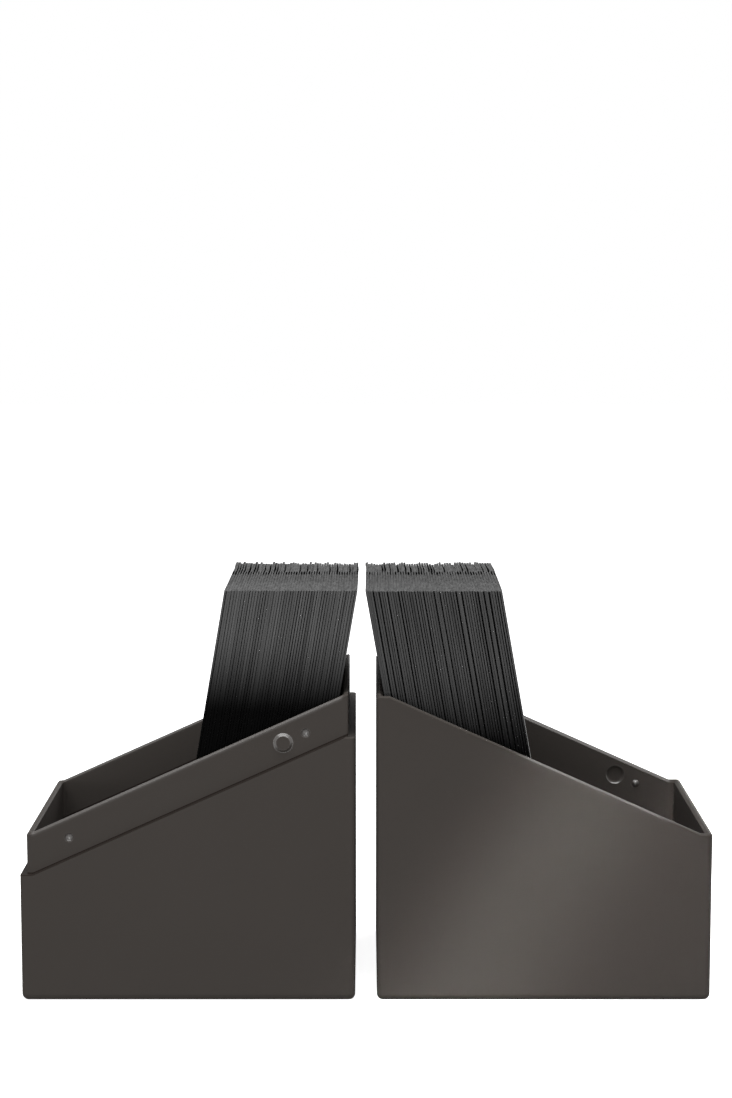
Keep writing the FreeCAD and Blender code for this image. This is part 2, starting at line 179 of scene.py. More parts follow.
def shows_background(tree: Tree) -> Socket:
    """Tells the rays that show the background from those that light the object.

    Args:
        tree: The node tree.

    Returns:
        A socket that is 1 for the camera's, glossy and transmission rays, and 0 for the rest.
    """
    rays = add_node(tree, "ShaderNodeLightPath").outputs
    seen = {0: rays["Is Camera Ray"], 1: rays["Is Glossy Ray"]}
    direct = add_node(tree, "ShaderNodeMath", seen, operation="MAXIMUM")
    through = {0: direct.outputs["Value"], 1: rays["Is Transmission Ray"]}
    return add_node(tree, "ShaderNodeMath", through, operation="MAXIMUM").outputs["Value"]


# ---------------------------------------------------------------- finishes


@dataclass(frozen=True)
class Finish:
    """A finish: what the surface is made of, and how its material is built."""

    name: str

    def material(self) -> bpy.types.Material:
        """Makes the material, unless it is there already.

        Returns:
            The material of this name.
        """
        found = bpy.data.materials.get(self.name)
        if found:
            return found
        made = bpy.data.materials.new(self.name)
        made.use_nodes = True
        made.node_tree.nodes.clear()
        add_node(made.node_tree, "ShaderNodeOutputMaterial", {"Surface": self.surface(made.node_tree)})
        return made

    def surface(self, tree: Tree) -> Socket:
        """Builds the surface's nodes. Each finish has its own.

        Args:
            tree: The material's node tree.

        Returns:
            The shader's socket.
        """
        raise NotImplementedError


@dataclass(frozen=True)
class Burnish:
    """Where a half is polished: along its slanted rim and on its snaps. Lengths in millimetres."""

    # X and height of the rim where its slope starts and ends.
    rim_start: Span
    rim_end: Span
    # Stretch along X where the rim is polished, and where its outer edge is worn bright too.
    stretch: Span
    worn_edge: Span
    # X, height, and inner and outer reach of each snap on the front. The back has the same.
    snaps: tuple[tuple[float, float, float, float], ...]
    # Depths from the middle between which a snap's polish stays.
    snap_depths: Span
    # Depth from the middle to the face that the snaps stand on.
    snap_face: float = 36.3
    # Depth from the middle to where the outer edge starts.
    edge_start: float = 37.3
    # Height of the polished band along the rim, and of the blend below it.
    band: float = 0.6
    blend: float = 0.4
    # How softly the polish starts along the worn edge, along the rim, and elsewhere.
    worn_fade: float = 4.0
    rim_fade: float = 0.6
    fade: float = 0.1
    # How far the shoulder is below the rim, where there is one. Its corner gets painted shade.
    collar_rise: float = 0.0
    # How far the painted shade in that corner reaches up and down, and its fade.
    corner_shade_reach: float = 0.3
    corner_shade_fade: float = 0.12

    def mask(self, tree: Tree, rim: float, snap: float) -> Socket:
        """Works out the polish's weight over the whole half.

        Args:
            tree: The material's node tree.
            rim: Weight along the rim.
            snap: Weight on the snaps.

        Returns:
            A socket with the weight, which is 0 away from the rim and the snaps.
        """
        point = add_node(tree, "ShaderNodeTexCoord").outputs["Object"]
        place = add_node(tree, "ShaderNodeSeparateXYZ", {"Vector": point})
        depth = add_node(tree, "ShaderNodeMath", {0: place.outputs["Y"]}, operation="ABSOLUTE")
        weights = {
            0: self._rim_weight(tree, place, depth.outputs["Value"], rim),
            1: self._snap_weight(tree, place, depth.outputs["Value"], snap),
        }
        return add_node(tree, "ShaderNodeMath", weights, operation="MAXIMUM").outputs["Value"]

    def painted_corner_shade(self, tree: Tree) -> Socket:
        """Finds the corner where the collar stands on its shoulder, which gets painted shade.

        Args:
            tree: The material's node tree.

        Returns:
            A socket that is 1 in the corner and 0 elsewhere: how much painted shade it gets.
        """
        point = add_node(tree, "ShaderNodeTexCoord").outputs["Object"]
        place = add_node(tree, "ShaderNodeSeparateXYZ", {"Vector": point})
        above = self._above_slope(tree, place, self.collar_rise)
        return window(tree, above, -self.corner_shade_reach, self.corner_shade_reach, self.corner_shade_fade)

    def _above_slope(self, tree: Tree, place: bpy.types.Node, drop: float = 0.0) -> Socket:
        """Measures how far a point is above the rim's slope, or above a line below that.

        Args:
            tree: The material's node tree.
            place: The node that gives the point's X, Y and Z.
            drop: How far below the rim the line runs.

        Returns:
            A socket with the height above the line, in metres.
        """
        (start, start_height), (end, end_height) = self.rim_start, self.rim_end
        slope = spans((mm(start), mm(end)), (mm(start_height - drop), mm(end_height - drop)))
        line = add_node(tree, "ShaderNodeMapRange", {"Value": place.outputs["X"]} | slope)
        heights = {0: place.outputs["Z"], 1: line.outputs["Result"]}
        return add_node(tree, "ShaderNodeMath", heights, operation="SUBTRACT").outputs["Value"]

    def _rim_weight(self, tree: Tree, place: bpy.types.Node, depth: Socket, rim: float) -> Socket:
        """Works out the polish's weight along the rim.

        Args:
            tree: The material's node tree.
            place: The node that gives the point's X, Y and Z.
            depth: The point's depth from the middle, in metres.
            rim: Weight along the rim.

        Returns:
            A socket from 0 to that weight.
        """
        band_spans = spans((-mm(self.band + self.blend), -mm(self.band)), (0.0, rim))
        inner_spans = spans((mm(self.edge_start + self.fade), mm(self.edge_start)))
        above = self._above_slope(tree, place)
        band = add_node(tree, "ShaderNodeMapRange", {"Value": above} | band_spans)
        inner = add_node(tree, "ShaderNodeMapRange", {"Value": depth} | inner_spans)
        worn = window(tree, place.outputs["X"], *self.worn_edge, self.worn_fade)
        across = add_node(
            tree, "ShaderNodeMath", {0: inner.outputs["Result"], 1: worn}, operation="MAXIMUM"
        )
        along = window(tree, place.outputs["X"], *self.stretch, self.rim_fade)
        weight = band.outputs["Result"]
        for share in (across.outputs["Value"], along):
            both = {0: weight, 1: share}
            weight = add_node(tree, "ShaderNodeMath", both, operation="MULTIPLY").outputs["Value"]
        return weight

    def _snap_weight(self, tree: Tree, place: bpy.types.Node, depth: Socket, snap: float) -> Socket:
        """Works out the polish's weight on the snaps, front and back.

        Args:
            tree: The material's node tree.
            place: The node that gives the point's X, Y and Z.
            depth: The point's depth from the middle, in metres.
            snap: Weight on the snaps.

        Returns:
            A socket from 0 to that weight.
        """
        near_face = window(tree, depth, *self.snap_depths, self.fade)
        folded_point = {"X": place.outputs["X"], "Y": depth, "Z": place.outputs["Z"]}
        folded = add_node(tree, "ShaderNodeCombineXYZ", folded_point).outputs["Vector"]
        rings: Socket | float = 0.0
        for x, height, inner, outer in self.snaps:
            middle = (mm(x), mm(self.snap_face), mm(height))
            away = add_node(tree, "ShaderNodeVectorMath", {0: folded, 1: middle}, operation="DISTANCE")
            ring = window(tree, away.outputs["Value"], inner, outer, self.fade)
            both = {0: rings, 1: ring}
            rings = add_node(tree, "ShaderNodeMath", both, operation="MAXIMUM").outputs["Value"]
        kept = add_node(tree, "ShaderNodeMath", {0: rings, 1: near_face}, operation="MINIMUM")
        weight = {0: kept.outputs["Value"], 1: snap}
        return add_node(tree, "ShaderNodeMath", weight, operation="MULTIPLY").outputs["Value"]


@dataclass(frozen=True)
class MouldedPolypropylene(Finish):
    """Injection-moulded polypropylene from a spark-eroded mould: dark, matt, with a fine even grain."""

    burnish: Burnish
    base_hex: str = "#403C39"
    shade_hex: str = "#3D3936"
    # Painted shade for the corner where the collar stands on its shoulder.
    corner_shade_hex: str = "#241F1C"
    roughness: float = 0.62
    roughness_swing: float = 0.04
    ior: float = 1.49
    specular: float = 0.05
    # The mould's inserts for the snaps are polished, and so is the shut-off edge at the rim.
    rim_polish: float = 0.29
    snap_polish: float = 1.0
    polish_roughness: float = 0.25
    polish_ior: float = 1.75
    # Real grain is about 0.1 mm wide. It is drawn at 0.45 mm, the finest that shows at this size.
    grain_mm: float = 0.45
    grain_depth_mm: float = 0.003
    # Slow drift of tone over the moulding, from the way the melt cools.
    flow_mm: float = 28.0

    def surface(self, tree: Tree) -> Socket:
        """Builds grain in the bump and the roughness, and a slow drift in the colour.

        Args:
            tree: The material's node tree.

        Returns:
            The shader's socket.
        """
        point = add_node(tree, "ShaderNodeTexCoord").outputs["Object"]
        grain_inputs = {"Vector": point, "Scale": 1 / mm(self.grain_mm), "Detail": 2.0, "Roughness": 0.6}
        grain = add_node(tree, "ShaderNodeTexNoise", grain_inputs).outputs["Fac"]
        roughnesses = (self.roughness - self.roughness_swing, self.roughness + self.roughness_swing)
        rough = add_node(
            tree, "ShaderNodeMapRange", {"Value": grain} | spans(NOISE_SPAN, roughnesses)
        )
        bump = add_node(
            tree, "ShaderNodeBump", {"Height": grain, "Distance": mm(self.grain_depth_mm)}
        )
        shader = add_node(
            tree,
            "ShaderNodeBsdfPrincipled",
            {
                "Base Color": self._tone(tree, point),
                "Roughness": rough.outputs["Result"],
                "Normal": bump.outputs["Normal"],
                "IOR": self.ior,
                "Specular IOR Level": self.specular,
                "Coat Weight": self.burnish.mask(tree, self.rim_polish, self.snap_polish),
                "Coat Roughness": self.polish_roughness,
                "Coat IOR": self.polish_ior,
            },
        )
        return shader.outputs["BSDF"]

    def _tone(self, tree: Tree, point: Socket) -> Socket:
        """Mixes the drifting colour, with painted shade in the corner under a collar.

        Args:
            tree: The material's node tree.
            point: The point on the half.

        Returns:
            A socket with the colour.
        """
        flow_inputs = {"Vector": point, "Scale": 1 / mm(self.flow_mm), "Detail": 3.0}
        flow = add_node(tree, "ShaderNodeTexNoise", flow_inputs).outputs["Fac"]
        drift = {"Factor": flow, MIX_FROM: linear(self.shade_hex), MIX_TO: linear(self.base_hex)}
        tone = add_node(tree, "ShaderNodeMix", drift, data_type="RGBA").outputs[MIXED]
        # Painted shade: the colour darkens in the corner under the collar.
        if not self.burnish.collar_rise:
            return tone
        painted_corner_shade = {
            "Factor": self.burnish.painted_corner_shade(tree),
            MIX_FROM: tone,
            MIX_TO: linear(self.corner_shade_hex),
        }
        return add_node(tree, "ShaderNodeMix", painted_corner_shade, data_type="RGBA").outputs[MIXED]


@dataclass(frozen=True)
class SleeveFilm(Finish):
    """Matt sleeve film over a dark card back: grey above, darkened to near black towards the foot by
    painted shade.
    """

    # The film's tone at the top, and the painted shade it darkens to towards the foot.
    high_hex: str = "#5E5E5E"
    foot_shade_hex: str = "#0A0A0A"
    # Heights between which the painted shade fades out, from near black low on the card to the film's
    # own tone.
    shade_full_mm: float = 64.5
    shade_gone_mm: float = 84.0
    # Roughness of the clean film and of its scuffs.
    roughness: Span = (0.49, 0.63)
    ior: float = 1.49
    specular: float = 0.0
    scuff_mm: float = 2.2
    # The cards' lean, and the width, the stretch and the darkest tone of the streaks along them.
    lean: float = 9.8
    streak_mm: float = 0.6
    streak_length: float = 60.0
    streak_low: float = 0.6

    def surface(self, tree: Tree) -> Socket:
        """Builds a tone darkened towards the foot by painted shade, differing from card to card, with
        scuffs.

        Args:
            tree: The material's node tree.

        Returns:
            The shader's socket.
        """
        point = add_node(tree, "ShaderNodeTexCoord").outputs["Object"]
        place = add_node(tree, "ShaderNodeSeparateXYZ", {"Vector": point})
        # Painted shade: the tone falls to near black towards the foot.
        rise = {"Value": place.outputs["Z"]} | spans((mm(self.shade_full_mm), mm(self.shade_gone_mm)))
        height = add_node(tree, "ShaderNodeMapRange", rise, interpolation_type="SMOOTHSTEP")
        streak = streaks(tree, self.lean, self.streak_mm, self.streak_length, self.streak_low)
        light = {0: height.outputs["Result"], 1: streak}
        share = add_node(tree, "ShaderNodeMath", light, operation="MULTIPLY").outputs["Value"]
        tones = {"Factor": share, MIX_FROM: linear(self.foot_shade_hex), MIX_TO: linear(self.high_hex)}
        tone = add_node(tree, "ShaderNodeMix", tones, data_type="RGBA").outputs[MIXED]
        scuff_inputs = {"Vector": point, "Scale": 1 / mm(self.scuff_mm), "Detail": 4.0, "Roughness": 0.7}
        scuffs = add_node(tree, "ShaderNodeTexNoise", scuff_inputs).outputs["Fac"]
        rough = add_node(
            tree, "ShaderNodeMapRange", {"Value": scuffs} | spans(NOISE_SPAN, self.roughness)
        )
        shader = add_node(
            tree,
            "ShaderNodeBsdfPrincipled",
            {
                "Base Color": tone,
                "Roughness": rough.outputs["Result"],
                "IOR": self.ior,
                "Specular IOR Level": self.specular,
            },
        )
        return shader.outputs["BSDF"]


@dataclass(frozen=True)
class SleeveLips(Finish):
    """The cut top edges of the sleeves: frosted, with painted light and shade in three tones from front
    to back.
    """

    # Painted light and shade: the edge gets a different tone in each stretch along the mouth.
    front_hex: str = "#626262"
    middle_hex: str = "#5C5C5C"
    back_hex: str = "#636363"
    # Where the tone changes along the mouth, from the front to the back.
    front_end_mm: float = -14.3
    middle_end_mm: float = 4.5
    blend_mm: float = 0.25
    # The cards' lean, and the width, the stretch and the darkest tone of the streaks along them.
    lean: float = 9.8
    streak_mm: float = 0.6
    streak_length: float = 8.0
    streak_low: float = 0.6
    roughness: float = 0.6
    ior: float = 1.49
    specular: float = 0.0

    def surface(self, tree: Tree) -> Socket:
        """Builds three tones of painted light and shade along the mouth, a little different from card to
        card.

        Args:
            tree: The material's node tree.

        Returns:
            The shader's socket.
        """
        point = add_node(tree, "ShaderNodeTexCoord").outputs["Object"]
        place = add_node(tree, "ShaderNodeSeparateXYZ", {"Vector": point})
        tone: Socket | Colour = linear(self.front_hex)
        for end, next_hex in ((self.front_end_mm, self.middle_hex), (self.middle_end_mm, self.back_hex)):
            step_spans = spans((mm(end - self.blend_mm), mm(end + self.blend_mm)))
            step = add_node(tree, "ShaderNodeMapRange", {"Value": place.outputs["Y"]} | step_spans)
            tones = {"Factor": step.outputs["Result"], MIX_FROM: tone, MIX_TO: linear(next_hex)}
            tone = add_node(tree, "ShaderNodeMix", tones, data_type="RGBA").outputs[MIXED]
        streak = streaks(tree, self.lean, self.streak_mm, self.streak_length, self.streak_low)
        shades = {"Factor": streak, MIX_FROM: linear(BLACK), MIX_TO: tone}
        shader = add_node(
            tree,
            "ShaderNodeBsdfPrincipled",
            {
                "Base Color": add_node(tree, "ShaderNodeMix", shades, data_type="RGBA").outputs[MIXED],
                "Roughness": self.roughness,
                "IOR": self.ior,
                "Specular IOR Level": self.specular,
            },
        )
        return shader.outputs["BSDF"]


@dataclass(frozen=True)
class SleeveMouth(Finish):
    """The inside of an open sleeve, over the card's edge: near black, from the card's dark edge and
    painted shade, and with no gloss.
    """

    # Near black: partly the black card's own edge, partly painted shade on the film walls of the slot.
    clean_hex: str = "#101010"
    dusty_hex: str = "#161616"
    dust_mm: float = 0.8
    roughness: float = 0.9
    specular: float = 0.0

    def surface(self, tree: Tree) -> Socket:
        """Builds an even dark, a little lighter on fine dust.

        Args:
            tree: The material's node tree.

        Returns:
            The shader's socket.
        """
        point = add_node(tree, "ShaderNodeTexCoord").outputs["Object"]
        dust = add_node(tree, "ShaderNodeTexNoise", {"Vector": point, "Scale": 1 / mm(self.dust_mm)})
        tones = {
            "Factor": dust.outputs["Fac"],
            MIX_FROM: linear(self.clean_hex),
            MIX_TO: linear(self.dusty_hex),
        }
        shader = add_node(
            tree,
            "ShaderNodeBsdfPrincipled",
            {
                "Base Color": add_node(tree, "ShaderNodeMix", tones, data_type="RGBA").outputs[MIXED],
                "Roughness": self.roughness,
                "Specular IOR Level": self.specular,
            },
        )
        return shader.outputs["BSDF"]


@dataclass(frozen=True)
class CardBack(Finish):
    """A plain black card back behind matt film: dark, with a soft sheen and fine scuffs."""

    back_hex: str = "#212121"
    scuff_hex: str = "#2C2C2C"
    # Roughness of the clean film and of its scuffs.
    roughness: Span = (0.42, 0.57)
    specular: float = 0.3
    # Shuffling leaves scuffs of a millimetre or two across the film, where the noise is high.
    scuff_mm: float = 1.6
    scuff_span: Span = (0.5, 0.72)

    def surface(self, tree: Tree) -> Socket:
        """Builds scuffs in the tone and the roughness.

        Args:
            tree: The material's node tree.

        Returns:
            The shader's socket.
        """
        point = add_node(tree, "ShaderNodeTexCoord").outputs["Object"]
        noise_inputs = {"Vector": point, "Scale": 1 / mm(self.scuff_mm), "Detail": 5.0, "Roughness": 0.7}
        noise = add_node(tree, "ShaderNodeTexNoise", noise_inputs).outputs["Fac"]
        worn = add_node(
            tree, "ShaderNodeMapRange", {"Value": noise} | spans(self.scuff_span)
        ).outputs["Result"]
        rough = add_node(
            tree, "ShaderNodeMapRange", {"Value": worn} | spans((0.0, 1.0), self.roughness)
        )
        tones = {"Factor": worn, MIX_FROM: linear(self.back_hex), MIX_TO: linear(self.scuff_hex)}
        shader = add_node(
            tree,
            "ShaderNodeBsdfPrincipled",
            {
                "Base Color": add_node(tree, "ShaderNodeMix", tones, data_type="RGBA").outputs[MIXED],
                "Roughness": rough.outputs["Result"],
                "Specular IOR Level": self.specular,
            },
        )
        return shader.outputs["BSDF"]


@dataclass(frozen=True)
class StudioPaper(Finish):
    """Matt studio paper: white to the camera and in reflections, and it keeps the shadow."""

    paper_hex: str = "#F4F4F4"
    # What the paper throws back on the object, held down as by flags round a set.
    bounce_hex: str = "#808080"
    lift: float = 0.9

    def surface(self, tree: Tree) -> Socket:
        """Builds diffuse paper, lifted to white only for the rays that show it as a background.

        Args:
            tree: The material's node tree.

        Returns:
            The shader's socket.
        """
        rays = add_node(tree, "ShaderNodeLightPath")
        tones = {
            "Factor": rays.outputs["Is Camera Ray"],
            MIX_FROM: linear(self.bounce_hex),
            MIX_TO: linear(self.paper_hex),
        }
        tone = add_node(tree, "ShaderNodeMix", tones, data_type="RGBA").outputs[MIXED]
        paper = add_node(tree, "ShaderNodeBsdfDiffuse", {"Color": tone})
        lift = {0: shows_background(tree), 1: self.lift}
        level = add_node(tree, "ShaderNodeMath", lift, operation="MULTIPLY").outputs["Value"]
        glow = add_node(tree, "ShaderNodeEmission", {"Color": linear(WHITE), "Strength": level})
        layers = {0: paper.outputs["BSDF"], 1: glow.outputs["Emission"]}
        return add_node(tree, "ShaderNodeAddShader", layers).outputs["Shader"]


BASE_FINISH = MouldedPolypropylene(
    "polypropylene_moulded_base",
    Burnish(
        rim_start=(-74.525, 38.05),
        rim_end=(-2.425, 70.23),
        stretch=(-75.0, -5.0),
        worn_edge=(-80.0, 0.0),
        snaps=((-66.325, 37.01, -1.0, 1.1), (-18.425, 58.39, 1.55, 2.25), (-13.425, 60.62, -1.0, 1.1)),
        snap_depths=(35.2, 39.0),
        collar_rise=9.25,
    ),
    rim_polish=0.18,
)
LID_FINISH = MouldedPolypropylene(
    "polypropylene_moulded_lid",
    Burnish(
        rim_start=(5.225, 69.0),
        rim_end=(74.525, 38.07),
        stretch=(5.0, 75.0),
        worn_edge=(33.0, 68.0),
        snaps=((13.425, 60.79, -1.0, 1.05), (61.325, 39.41, 2.0, 2.35), (66.325, 37.18, -1.0, 1.05)),
        snap_depths=(34.5, 37.3),
    ),
)


# ---------------------------------------------------------------- modelling helpers


class Part(Enum):
    """What an edit works on, by Blender's name for the select mode."""

    VERTS = "VERT"
    FACES = "FACE"


def deselect_all() -> None:
    """Leaves nothing selected in object mode."""
    bpy.ops.object.select_all(action="DESELECT")


def pick(piece: bpy.types.Object, part: Part, test: Callable[[Vector, Vector], bool]) -> None:
    """Selects parts of the mesh being edited by their place and normal.

    Args:
        piece: The piece, in edit mode.
        part: Whether vertices or faces are tested.
        test: Takes the part's middle in millimetres and its normal, and says whether it is picked.
    """
    bpy.ops.mesh.select_mode(type=part.value)
    bpy.ops.mesh.select_all(action="DESELECT")
    mesh = bmesh.from_edit_mesh(piece.data)
    for item in mesh.verts if part is Part.VERTS else mesh.faces:
        middle = item.co if part is Part.VERTS else item.calc_center_median()
        if test(middle * 1000, item.normal):
            item.select_set(True)
    mesh.select_flush_mode()
    bmesh.update_edit_mesh(piece.data)


def cut_across(axis: str, places_mm: Iterable[float]) -> None:
    """Cuts the whole mesh being edited with planes square to an axis.

    Args:
        axis: The axis's small letter.
        places_mm: Where the planes cut it.
    """
    normal = tuple(float(axis == name) for name in "xyz")
    for place in places_mm:
        bpy.ops.mesh.select_all(action="SELECT")
        bpy.ops.mesh.bisect(plane_co=tuple(mm(place) * n for n in normal), plane_no=normal)


# ---------------------------------------------------------------- cards


@dataclass(frozen=True)
class CardPose:
    """How one card stands in its deck. Lengths are in millimetres, in the card's own frame."""

    slide: float
    lift: float
    back_rise: float
    edge_shift: float
    # Shares of the modelled card's thickness at its side edges, and of its slot's width.
    edge_share: float
    mark: float
    gape: float


@dataclass
class SleevedCard:
    """One card in its sleeve, standing on its foot at the origin: X through it, Y across, Z up.

    All sizes are in millimetres.
    """

    width: float = 66.0
    height: float = 91.0
    card_width: float = 63.0
    card_height: float = 88.0
    seam: float = 1.0
    # Thickness at the foot, at the side edges and over the card, and of one wall of the sleeve.
    foot: float = 0.24
    edge: float = 0.48
    body: float = 0.56
    wall: float = 0.12
    card_drop: float = 1.1
    # Half the width of the slot between the two lips of the mouth, at places from front to back.
    slot: tuple[Span, ...] = (
        (-31.5, 0.02),
        (-14.3, 0.03),
        (4.0, 0.05),
        (5.0, 0.19),
        (10.0, 0.18),
        (12.5, 0.12),
        (17.0, 0.12),
        (27.0, 0.07),
        (31.5, 0.03),
    )
    # Where every mouth shows a short dark mark, between two places along it.
    mark: Span = (4.5, 11.0)
    # The whole deck bows by this much at mid depth, as cards kept in a box do.
    bow: float = 0.12
    # All of them are a little wavy towards the back too, so no light passes between them.
    ripple: float = 0.06
    ripple_length: float = 20.0
    ripple_start: float = 12.0
    # How near to a plane counts as in it, and how far past an edge counts as beyond it.
    touch: float = 0.01
    margin: float = 0.1

    def build(self, film: SleeveFilm, lips: SleeveLips) -> bpy.types.Mesh:
        """Models the card once: a plate, thinned to bare film round the card and open at the top.

        Args:
            film: The finish of the sleeve.
            lips: The finish of its cut top edges.

        Returns:
            The mesh that every card of a deck is a changed copy of.
        """
        deselect_all()
        size = (mm(self.body), mm(self.width), mm(self.height))
        bpy.ops.mesh.primitive_cube_add(size=1, location=(0, 0, mm(self.height) / 2), scale=size)
        card = bpy.context.active_object
        bpy.ops.object.transform_apply(location=True, rotation=True, scale=True)
        for finish in (film, lips, SleeveMouth("sleeve_mouth_dark"), CardBack("card_back_black")):
            card.data.materials.append(finish.material())
        bpy.ops.object.mode_set(mode="EDIT")
        cut_across("y", [place for place, _ in self.slot])
        cut_across("z", (self.seam, self.seam + self.card_height))
        self._thin_edges(card)
        self._open_mouth(card)
        self._give_materials(card)
        bpy.ops.object.mode_set(mode="OBJECT")
        mesh = card.data
        mesh.name = "sleeved_card"
        bpy.data.objects.remove(card)
        return mesh

    def _thin_edges(self, card: bpy.types.Object) -> None:
        """Presses both sides and the foot down to the welded film.

        Args:
            card: The card, in edit mode.
        """
        side = self.width / 2 - self.touch
        pick(card, Part.VERTS, lambda at, _: abs(at.y) > side)
        bpy.ops.transform.resize(value=(self.edge / self.body, 1, 1), center_override=(0, 0, 0))
        pick(card, Part.VERTS, lambda at, _: at.z < self.touch)
        bpy.ops.transform.resize(value=(self.foot / self.body, 1, 1), center_override=(0, 0, 0))

    def _open_mouth(self, card: bpy.types.Object) -> None:
        """Opens the slot between the lips, wide towards the back, and sinks it to the card.

        Args:
            card: The card, in edit mode.
        """
        top = self.height - self.touch
        inner = self.card_width / 2
        lip = self.body / 2 - self.wall
        reach = lip + self.touch
        near = self.wall + self.touch
        pick(card, Part.FACES, lambda at, n: n.z > FACING and at.z > top and abs(at.y) < inner)
        bpy.ops.mesh.inset(thickness=mm(self.wall), use_even_offset=True)
        for place, half in self.slot:
            pick(
                card,
                Part.VERTS,
                lambda at, _: at.z > top and abs(at.x) < reach and abs(at.y - place) < near,
            )
            bpy.ops.transform.resize(value=(half / lip, 1, 1), center_override=(0, 0, 0))
        pick(card, Part.FACES, lambda at, _: at.z > top and abs(at.x) < self.touch and abs(at.y) < inner)
        down = {"value": (0, 0, -mm(self.card_drop))}
        bpy.ops.mesh.extrude_region_move(TRANSFORM_OT_translate=down)

    def _give_materials(self, card: bpy.types.Object) -> None:
        """Gives the lips, the inside of the mouth and the broad faces their own finishes.

        Args:
            card: The card, in edit mode, with its four materials.
        """
        top = self.height - self.touch
        floor = self.height - self.card_drop - self.touch
        inner = self.card_width / 2
        lip = self.body / 2 - self.wall
        reach = lip + self.touch
        outer = lip + self.wall / 2
        tests: tuple[Callable[[Vector, Vector], bool], ...] = (
            lambda at, _: at.z > top,
            lambda at, _: floor < at.z < top and abs(at.x) < reach and abs(at.y) < inner,
            lambda at, n: abs(n.x) > FACING and abs(at.x) > outer,
        )
        for number, test in enumerate(tests, start=1):
            pick(card, Part.FACES, test)
            card.active_material_index = number
            bpy.ops.object.material_slot_assign()

    def posed(self, master: bpy.types.Mesh, pose: CardPose) -> bpy.types.Mesh:
        """Copies the modelled card, and makes the copy stand in its own way.

        Args:
            master: The modelled card.
            pose: How this one stands.

        Returns:
            The changed copy.
        """
        mesh = master.copy()
        half = self.width / 2
        film_start = self.card_width / 2 + self.margin
        slot_foot = self.height - self.card_drop - self.margin
        slot_reach = self.body / 2 - self.margin / 2
        for vertex in mesh.vertices:
            at = vertex.co * 1000
            if abs(at.y) > film_start:
                at.x = at.x * pose.edge_share + pose.edge_shift
            elif at.z > slot_foot and abs(at.x) < slot_reach and at.y > self.mark[0]:
                at.x *= pose.mark if at.y < self.mark[1] else pose.gape
            at.x += self.bow * (1 - (at.y / half) ** 2)
            at.x += self.ripple * math.sin(math.tau * (at.y - self.ripple_start) / self.ripple_length)
            at.z += pose.lift + pose.back_rise * max(0.0, at.y / half) * at.z / self.height
            at.y += pose.slide
            vertex.co = at / 1000
        return mesh


